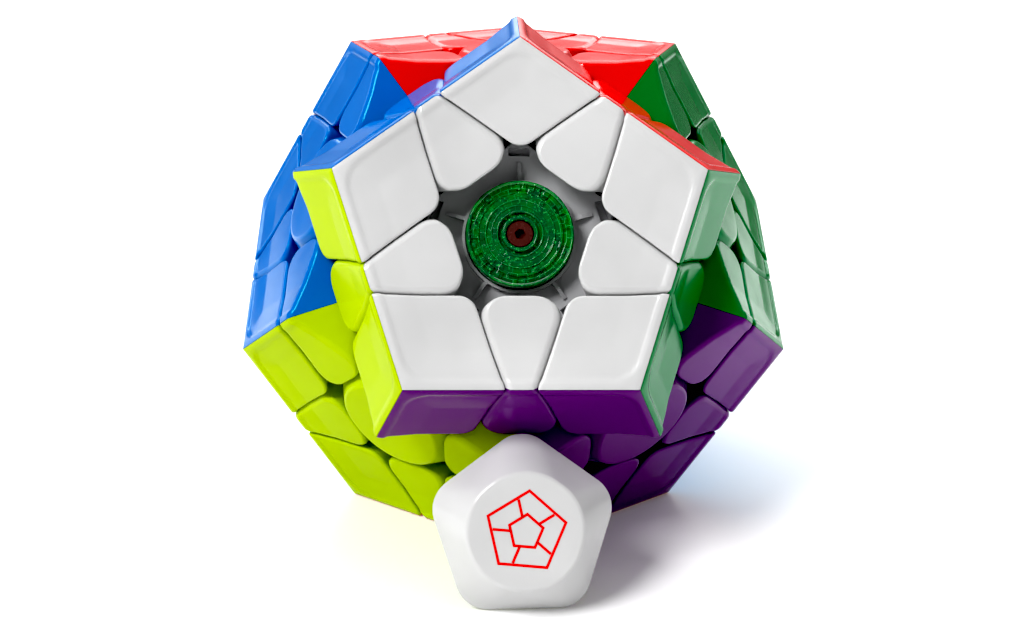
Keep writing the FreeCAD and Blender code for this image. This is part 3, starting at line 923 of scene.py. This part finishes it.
# ---- caps ---------------------------------------------------------------------------------------
@dataclass
class CentreCap:
    """The hollow cap over a face's centre: a round face flaring to a pentagonal rim.

    Attributes:
        solid: the dodecahedron.
        height: from its rim to its outer face.
        face: flat-side radius at its outer face.
        face_round: corner radius there, nearly a circle.
        rim: flat-side radius at its rim.
        rim_round: corner radius there.
        wall: thickness of its sides.
        roof: thickness of its outer face.
        lip: radius of the round at its outer face.
        steps: points round it.
    """

    solid: Dodecahedron
    height: float = 7.0
    face: float = 9.4
    face_round: float = 8.6
    rim: float = 13.0
    rim_round: float = 5.2
    wall: float = 1.4
    roof: float = 1.6
    lip: float = 0.8
    steps: int = 120

    def reach(self, turn: float, side: float, corner: float) -> float:
        """Radius of a rounded pentagon at an angle from a flat side's middle.

        Args:
            turn: the angle, in radians.
            side: its flat-side radius.
            corner: its corner radius.

        Returns:
            The radius there.
        """
        half = math.pi / SIDES
        turn = abs((turn + half) % (2 * half) - half)
        if side * math.tan(turn) <= (side - corner) * math.tan(half):
            return side / math.cos(turn)
        hub = (side - corner) / math.cos(half)
        spread = half - turn
        return hub * math.cos(spread) + math.sqrt(max(0.0, corner**2 - (hub * math.sin(spread)) ** 2))

    def profile(self) -> list[tuple[float, float, float, float]]:
        """Rings from the middle of the outer face, over its side and up inside.

        Returns:
            Depth below the face plane, flat-side radius, corner radius, and a scale on both.
        """
        rings = [(0.0, self.face - self.lip, self.face_round, s) for s in (0.3, 0.6, 0.85, 1.0)]
        lean = math.atan2(self.rim - self.face, self.height)
        for k in range(1, 6):
            turn = (math.pi / 2 - lean) * k / 5
            depth, out = self.lip * (1 - math.cos(turn)), self.lip * math.sin(turn)
            rings.append((depth, self.face - self.lip + out, self.face_round, 1.0))
        first, start = rings[-1][:2]

        def flank(share: float, inset: float) -> tuple[float, float, float, float]:
            """A ring at a share of the way down the side, pressed in by an inset."""
            depth = first + (self.height - first) * share
            side = start + (self.rim - start) * share - inset
            corner = self.face_round + (self.rim_round - self.face_round) * share - inset * 0.4
            return depth, side, corner, 1.0

        rings += [flank(k / 8, 0.0) for k in range(1, 8)] + [flank(0.975, 0.0)]
        rings += [(self.height, self.rim - 0.2, self.rim_round, 1.0)]
        rings += [(self.height, self.rim - self.wall, self.rim_round - 0.5, 1.0)]
        inner = [flank(share, self.wall) for share in (0.8, 0.6, 0.4, 0.25)]
        rings += inner
        depth, side, corner, _ = inner[-1]
        rings += [(self.roof, side - 0.8, corner, s) for s in (1.0, 0.6, 0.3)]
        return rings

    def make(self) -> bpy.types.Mesh:
        """Models the cap as one ring drawn out and shaped, closed at both middles."""
        bm = bmesh.new()
        bmesh.ops.create_circle(bm, segments=self.steps, radius=1.0)
        loop = bm.edges[:]
        top = self.solid.inradius
        first = True
        for depth, side, corner, scale in self.profile():
            if not first:
                drawn = bmesh.ops.extrude_edge_only(bm, edges=loop)["geom"]
                loop = [g for g in drawn if isinstance(g, bmesh.types.BMEdge) and not g.is_manifold]
            verts = {v for e in loop for v in e.verts}
            for vert in verts:
                turn = math.atan2(vert.co.y, vert.co.x)
                radius = self.reach(turn, side, min(corner, side * 0.98)) * scale
                vert.co = Vector((radius * math.cos(turn), radius * math.sin(turn), top - depth))
            if first:
                bmesh.ops.contextual_create(bm, geom=loop)
            first = False
        loop = [e for e in bm.edges if e.is_boundary]
        bmesh.ops.contextual_create(bm, geom=loop)
        for middle in [f for f in bm.faces if len(f.verts) > 10]:
            bmesh.ops.poke(bm, faces=[middle])
        return as_mesh(bm, "centre_cap")


# ---- the open socket -----------------------------------------------------------------------------
@dataclass
class TensionDial:
    """The clear dial in the open socket: a turned disc with ridges, cells and keys moulded on it.

    Attributes:
        solid: the dodecahedron.
        outline: its section from the screw hole to the rim, as radius and depth below the face plane.
        steps: points round it.
        cell_ring: inner and outer radius of its ring of cells.
        cells: walls between them.
        key_radius: where the low keys on its middle terrace stand.
        keys: how many there are.
    """

    solid: Dodecahedron
    outline: tuple[tuple[float, float], ...] = (
        (2.2, 6.4), (2.2, 3.95), (2.35, 3.76), (2.75, 3.76), (2.88, 3.9), (2.96, 4.35), (3.3, 4.38),
        (3.42, 3.9), (3.52, 3.8), (3.7, 3.8), (3.8, 3.95), (4.3, 4.0), (4.38, 3.9), (4.5, 3.9), (4.58, 4.0),
        (5.2, 4.02), (5.3, 3.84), (5.5, 3.84), (5.6, 4.04), (6.4, 4.08), (6.5, 3.84), (6.72, 3.84),
        (6.82, 4.25), (7.85, 4.25), (7.95, 3.84), (8.1, 3.74), (8.3, 3.74), (8.45, 3.86), (8.5, 4.0),
        (8.5, 6.4),
    )
    steps: int = 128
    cell_ring: tuple[float, float] = (6.7, 8.0)
    cells: int = 22
    key_radius: float = 6.0
    keys: int = 13

    def block(
        self,
        bm: bmesh.types.BMesh,
        turn: float,
        reach: tuple[float, float],
        width: float,
        depth: tuple[float, float],
    ) -> None:
        """Adds one small block that points out from the middle.

        Args:
            bm: where it goes.
            turn: its angle round the dial.
            reach: radius of its inner and outer end.
            width: across.
            depth: of its top and bottom below the face plane.
        """
        made = bmesh.ops.create_cube(bm, size=1.0)["verts"]
        size = (reach[1] - reach[0], width, depth[1] - depth[0])
        centre = ((reach[0] + reach[1]) / 2, 0, self.solid.inradius - (depth[0] + depth[1]) / 2)
        bmesh.ops.scale(bm, vec=size, verts=made)
        bmesh.ops.translate(bm, vec=centre, verts=made)
        bmesh.ops.rotate(bm, cent=(0, 0, 0), matrix=Matrix.Rotation(turn, 3, "Z"), verts=made)

    def disc(self) -> bpy.types.Mesh:
        """Turns the outline round the dial's axis."""
        bm = bmesh.new()
        top = self.solid.inradius
        points = [bm.verts.new((radius, 0, top - depth)) for radius, depth in self.outline]
        loop = [bm.edges.new(pair) for pair in zip(points, points[1:] + points[:1])]
        bmesh.ops.spin(
            bm,
            geom=points + loop,
            cent=(0, 0, 0),
            axis=(0, 0, 1),
            angle=2 * math.pi,
            steps=self.steps,
            use_merge=True,
        )
        bmesh.ops.remove_doubles(bm, verts=bm.verts[:], dist=1e-4)
        return as_mesh(bm, "dial_disc")

    def details(self) -> bpy.types.Mesh:
        """Models the cell walls, the blocks in some cells, and the keys."""
        bm = bmesh.new()
        low, high = self.cell_ring
        for k in range(self.cells):
            turn = 2 * math.pi * (k + 0.3 * math.sin(5.1 * k)) / self.cells
            self.block(bm, turn, (low, high), 0.14, (3.9, 4.3))
            if k % 3:
                inset = 0.25 + 0.12 * math.sin(2.7 * k)
                reach = (low + inset + 0.15, high - inset)
                self.block(bm, turn + 0.16, reach, 0.7, (3.98 + 0.08 * (k % 2), 4.3))
        for k in range(self.keys):
            turn = 2 * math.pi * (k + 0.25 * math.sin(3.3 * k)) / self.keys
            self.block(bm, turn, (self.key_radius - 0.3, self.key_radius + 0.3), 0.5, (3.92, 4.1))
            self.block(bm, turn + 0.2, (4.65, 5.15), 0.12, (3.9, 4.1))
        return as_mesh(bm, "dial_details")

    def build(self, matrix: Matrix, finish: bpy.types.Material) -> None:
        """Places the dial in the socket."""
        parts = [(self.disc(), matrix), (self.details(), matrix)]
        piece = finish_piece(gather(parts), "white_dial_clear", 30.0, False)
        dress(piece, finish, "white_tension_dial", "white_tension_dial")
        log.info("%s", piece.name)


@dataclass
class FaceDiagram:
    """A plain line drawing of the puzzle's own face, printed on the loose cap.

    Attributes:
        solid: the dodecahedron.
        outer: radius of its outer pentagon.
        inner: radius of its inner pentagon.
        line: width of its lines.
        proud: thickness of the print.
        turn: degrees that it is turned on the cap.
    """

    solid: Dodecahedron
    outer: float = 6.6
    inner: float = 3.0
    line: float = 0.42
    proud: float = 0.03
    turn: float = 12.0

    def pentagon(self, bm: bmesh.types.BMesh, radius: float) -> None:
        """Draws one pentagon's outline."""
        rings = []
        for size in (radius, radius - self.line / math.cos(math.pi / SIDES)):
            made = bmesh.ops.create_circle(bm, segments=SIDES, radius=size)["verts"]
            rings += list({e for v in made for e in v.link_edges})
        bmesh.ops.bridge_loops(bm, edges=rings)

    def make(self) -> bpy.types.Mesh:
        """Models the print: two pentagons joined by five lines along the cuts."""
        bm = bmesh.new()
        self.pentagon(bm, self.outer)
        self.pentagon(bm, self.inner)
        start, end = self.inner - self.line, self.outer * math.cos(math.pi / SIDES) - self.line / 2
        for k in range(SIDES):
            made = bmesh.ops.create_grid(bm, x_segments=1, y_segments=1, size=0.5)["verts"]
            bmesh.ops.scale(bm, vec=(end - start * 0.9, self.line, 1), verts=made)
            bmesh.ops.translate(bm, vec=((end + start * 0.9) / 2, 0, 0), verts=made)
            bmesh.ops.rotate(
                bm, cent=(0, 0, 0), matrix=Matrix.Rotation(math.pi * (2 * k + 1) / SIDES, 3, "Z"), verts=made
            )
        drawn = bmesh.ops.extrude_face_region(bm, geom=bm.faces[:])["geom"]
        lifted = [g for g in drawn if isinstance(g, bmesh.types.BMVert)]
        bmesh.ops.translate(bm, vec=(0, 0, self.proud), verts=lifted)
        bmesh.ops.rotate(
            bm, cent=(0, 0, 0), matrix=Matrix.Rotation(math.radians(self.turn), 3, "Z"), verts=bm.verts
        )
        bmesh.ops.translate(bm, vec=(0, 0, self.solid.inradius), verts=bm.verts)
        return as_mesh(bm, "face_diagram")

    def build(self, matrix: Matrix, finish: bpy.types.Material) -> None:
        """Prints it on the loose cap."""
        piece = finish_piece(gather([(self.make(), matrix)]), "white_cap_print", 40.0, False)
        piece.data.materials.append(finish)
        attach(piece, "white_cap")
        log.info("%s", piece.name)


# ---- whole puzzle -------------------------------------------------------------------------------
@dataclass
class Puzzle:
    """All shells and caps, copied to their places and dressed.

    Attributes:
        solid: the dodecahedron.
        placing: where a face's pieces go.
        finishes: each face's material.
    """

    solid: Dodecahedron
    placing: Placing
    finishes: dict[Face, bpy.types.Material]

    def shells(self) -> None:
        """Builds every CAD node of shells anew, with dishes and rounds."""
        facet = Facet(self.solid)
        corner, edge = CornerShell(self.solid, facet).make(), EdgeShell(self.solid, facet).make()
        groups: dict[tuple[Body, Face], list[tuple[bpy.types.Mesh, Matrix]]] = {}
        for face in Face:
            ring = self.placing.around(face)
            for place in range(SIDES):
                pair, trio = (face, ring[place]), (face, ring[place], ring[(place + 1) % SIDES])
                for mesh, faces in ((edge, pair), (corner, trio)):
                    body = Body.of(faces)
                    part = (mesh, self.placing.matrix(face, place, body))
                    groups.setdefault((body, face), []).append(part)
        for (body, face), parts in groups.items():
            node = f"{body.value[1]}_{face.label}_shells"
            piece = finish_piece(gather(parts), f"{node}_moulded")
            dress(piece, self.finishes[face], node, body.value[0])
            log.info("%s: %d shells", piece.name, len(parts))

    def caps(self) -> None:
        """Builds the twelve centre caps, the white one where it leans in front."""
        cap = CentreCap(self.solid).make()
        for face in Face:
            if face is Face.WHITE:
                continue
            body = Body.of((face,))
            node = f"{face.label}_cap"
            piece = finish_piece(gather([(cap, self.placing.matrix(face, 0, body))]), f"{node}_moulded")
            dress(piece, self.finishes[face], node, body.value[0])
            log.info("%s", piece.name)
        piece = finish_piece(gather([(cap, LooseCap(self.solid).matrix())]), "white_cap_moulded")
        dress(piece, self.finishes[Face.WHITE], "white_cap", "white_cap")
        log.info("%s", piece.name)

    def socket(self) -> None:
        """Builds the open socket's dial, and the print on the cap that covers it."""
        matrix = self.placing.matrix(Face.WHITE, 0, Body.WHITE_LAYER)
        clear = replace(
            DIAL_FINISH,
            name="open_dial_plastic",
            centre=tuple(matrix.translation),
            axis=tuple(matrix.col[2].xyz / MM),
        )
        TensionDial(self.solid).build(matrix, clear.make())
        FaceDiagram(self.solid).build(LooseCap(self.solid).matrix(), PRINT_FINISH.make())


@dataclass
class LooseCap:
    """How the white cap stands: on one side of its rim, leaning back against the turned layer.

    Attributes:
        solid: the dodecahedron.
        lean: degrees that it leans back.
        yaw: degrees that it is turned about the vertical.
        stand: where the middle of its lowest side stands, in millimetres.
    """

    solid: Dodecahedron
    lean: float = 21.0
    yaw: float = 2.0
    stand: tuple[float, float] = (0.7, -50.0)

    def matrix(self) -> Matrix:
        """From millimetres on the face along +Z to metres where the cap stands."""
        lean = math.radians(self.lean)
        out = Vector((0, -math.cos(lean), math.sin(lean)))
        down = Vector((0, -math.sin(lean), -math.cos(lean)))
        turn = Matrix.Rotation(math.radians(self.yaw), 4, "Z")
        turn = turn @ Matrix((down, out.cross(down), out)).transposed().to_4x4()
        height = CentreCap(self.solid).height
        foot = Vector((CentreCap(self.solid).rim, 0, self.solid.inradius - height))
        ground = Vector((self.stand[0], self.stand[1], 0))
        return Matrix.Scale(MM, 4) @ Matrix.Translation(ground - turn @ foot) @ turn


def dress(piece: bpy.types.Object, material: bpy.types.Material, node: str, body: str) -> None:
    """Gives a piece its finish, hangs it on its body, and hides the CAD node that it stands for.

    Args:
        piece: the piece.
        material: its finish.
        node: the CAD node that it stands for.
        body: the CAD body that it rides on.
    """
    piece.data.materials.clear()
    piece.data.materials.append(material)
    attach(piece, body)
    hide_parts(node)


@dataclass
class InnerPieces:
    """The CAD nodes that stay as they are and get better finishes."""

    def finish_for(self, node: str) -> Finish | None:
        """The finish of a CAD node by its name, or None if a new piece replaces it."""
        rules: list[tuple[Callable[[str], bool], Finish]] = [
            (lambda n: n == "tension_dials", DIAL_FINISH),
            (lambda n: "screw" in n, SCREW_FINISH),
            (lambda n: n == "springs", SPRING_FINISH),
            (lambda n: "magnets" in n, MAGNET_FINISH),
            (lambda n: "feet" in n, INNER_FINISH),
            (lambda n: "centre_base" in n or n == "core", TRAY_FINISH),
        ]
        return next((finish for test, finish in rules if test(node)), None)

    def dress(self) -> None:
        """Assigns each kept node its finish."""
        made: dict[str, bpy.types.Material] = {}
        for node, piece in frame["nodes"].items():
            finish = self.finish_for(node)
            if finish is None:
                continue
            if finish.name not in made:
                made[finish.name] = finish.make()
            piece.data.materials.clear()
            piece.data.materials.append(made[finish.name])
            log.info("%s: %s", node, finish.name)


# ---- studio -------------------------------------------------------------------------------------
@dataclass
class Studio:
    """Table, lights and camera.

    Attributes:
        target: what the lights look at, in metres.
        camera_at: the camera's place, in metres.
        yaw: degrees that the camera looks to the right of +Y.
        pitch: degrees that it looks up.
        roll: degrees that it is rolled.
        lens: its focal length in millimetres, on a 36 mm sensor.
        black: what the picture shows as black.
        table_size: half the table's side, in metres.
        room: the room's least brightness, and how much is added high up behind.
    """

    target: Vector
    camera_at: Vector = field(default_factory=lambda: Vector((-0.00779, -0.23906, 0.11478)))
    yaw: float = 1.85
    pitch: float = -19.0
    roll: float = 0.65
    lens: float = 48.05
    black: float = 0.025
    table_size: float = 6.0
    room: tuple[float, float] = (0.18, 0.45)

    def table(self) -> None:
        """Lays a wide pale table."""
        bm = bmesh.new()
        bmesh.ops.create_grid(bm, x_segments=8, y_segments=8, size=self.table_size)
        mesh = bpy.data.meshes.new("table_top")
        bm.to_mesh(mesh)
        bm.free()
        mesh.materials.append(TableTop("table_top").make())
        table = bpy.data.objects.new("table_top", mesh)
        bpy.context.scene.collection.objects.link(table)

    def lamp(
        self, name: str, at: tuple[float, float, float], size: tuple[float, float], power: float
    ) -> None:
        """Hangs one soft box that looks at the puzzle.

        Args:
            name: its name.
            at: its place, in metres.
            size: its width and height.
            power: its power, in watts.
        """
        data = bpy.data.lights.new(name, "AREA")
        data.shape = "RECTANGLE"
        data.size, data.size_y = size
        data.energy = power
        lamp = bpy.data.objects.new(name, data)
        lamp.location = at
        lamp.visible_camera = False
        lamp.rotation_euler = (self.target - Vector(at)).to_track_quat("-Z", "Y").to_euler()
        bpy.context.scene.collection.objects.link(lamp)

    def lights(self) -> None:
        """Hangs a broad key from the upper left, a box overhead and one behind, and strips at both sides."""
        key = bpy.data.lights.new("key", "SUN")
        key.energy, key.angle = 2.65, math.radians(20)
        lamp = bpy.data.objects.new("key", key)
        lamp.rotation_euler = Vector((0.55, 0.42, -0.72)).to_track_quat("-Z", "Y").to_euler()
        bpy.context.scene.collection.objects.link(lamp)
        self.lamp("overhead_box", (0.0, 0.45, 0.95), (1.0, 0.8), 7.5)
        self.lamp("left_back_strip", (-0.50, 0.38, 0.24), (0.03, 0.45), 0.30)
        self.lamp("right_back_strip", (0.50, 0.38, 0.24), (0.03, 0.45), 0.30)
        self.lamp("back_box", (0.0, 0.75, 0.40), (0.8, 0.25), 1.2)
        self.lamp("right_strip", (0.62, -0.20, 0.25), (0.04, 0.5), 0.10)
        self.lamp("left_strip", (-0.62, -0.10, 0.35), (0.04, 0.5), 0.10)

    def surround(self) -> None:
        """Makes a room that is brighter high up behind the puzzle."""
        world = bpy.data.worlds.new("room")
        world.use_nodes = True
        tree = world.node_tree
        where = add_node(tree, "TexCoord").outputs["Generated"]
        split = add_node(tree, "SeparateXYZ", {0: where}).outputs
        back, high = (
            add_node(tree, "MapRange", {"Value": split[axis], "From Min": low, "From Max": top}).outputs[0]
            for axis, low, top in (("Y", -0.6, 0.7), ("Z", 0.08, 0.22))
        )
        both = add_node(tree, "Math", {0: back, 1: high}, operation="MULTIPLY").outputs[0]
        least, more = self.room
        scale = {0: both, 1: more, 2: least}
        strength = add_node(tree, "Math", scale, operation="MULTIPLY_ADD").outputs[0]
        background = tree.nodes["Background"].inputs
        background["Color"].default_value = (1, 1, 1, 1)
        tree.links.new(strength, background["Strength"])
        bpy.context.scene.world = world

    def camera(self) -> None:
        """Sets up the camera, with no shift and no blur."""
        yaw, pitch, roll = (math.radians(a) for a in (self.yaw, self.pitch, self.roll))
        forward = Vector(
            (math.sin(yaw) * math.cos(pitch), math.cos(yaw) * math.cos(pitch), math.sin(pitch))
        )
        right = forward.cross(UP).normalized()
        over = right.cross(forward)
        side = right * math.cos(roll) + over * math.sin(roll)
        top = over * math.cos(roll) - right * math.sin(roll)
        data = bpy.data.cameras.new("camera")
        data.lens, data.sensor_width = self.lens, 36.0
        data.clip_start, data.clip_end = 0.01, 20.0
        camera = bpy.data.objects.new("camera", data)
        camera.matrix_world = Matrix.Translation(self.camera_at) @ Matrix(
            (side, top, -forward)
        ).transposed().to_4x4()
        bpy.context.scene.collection.objects.link(camera)
        bpy.context.scene.camera = camera
        view = bpy.context.scene.view_settings
        view.view_transform = "Standard"
        view.look = "Medium High Contrast"
        view.use_curve_mapping = True
        view.curve_mapping.black_level = (self.black,) * 3

    def build(self) -> None:
        """Sets the whole studio up."""
        self.table()
        self.lights()
        self.surround()
        self.camera()
        log.info("studio ready")


def main() -> None:
    """Builds the puzzle's looks and the studio, in order."""
    centre = Vector(next(j for j in frame["joints"] if j["name"] == "white_turn")["pos_m"])
    solid = Dodecahedron(inradius=centre.z / MM)
    finishes = {face: plastic.make() for face, plastic in PLASTICS.items()}
    puzzle = Puzzle(solid, Placing(centre), finishes)
    puzzle.shells()
    puzzle.caps()
    puzzle.socket()
    InnerPieces().dress()
    Studio(target=centre).build()


if __name__ == "__main__":
    main()
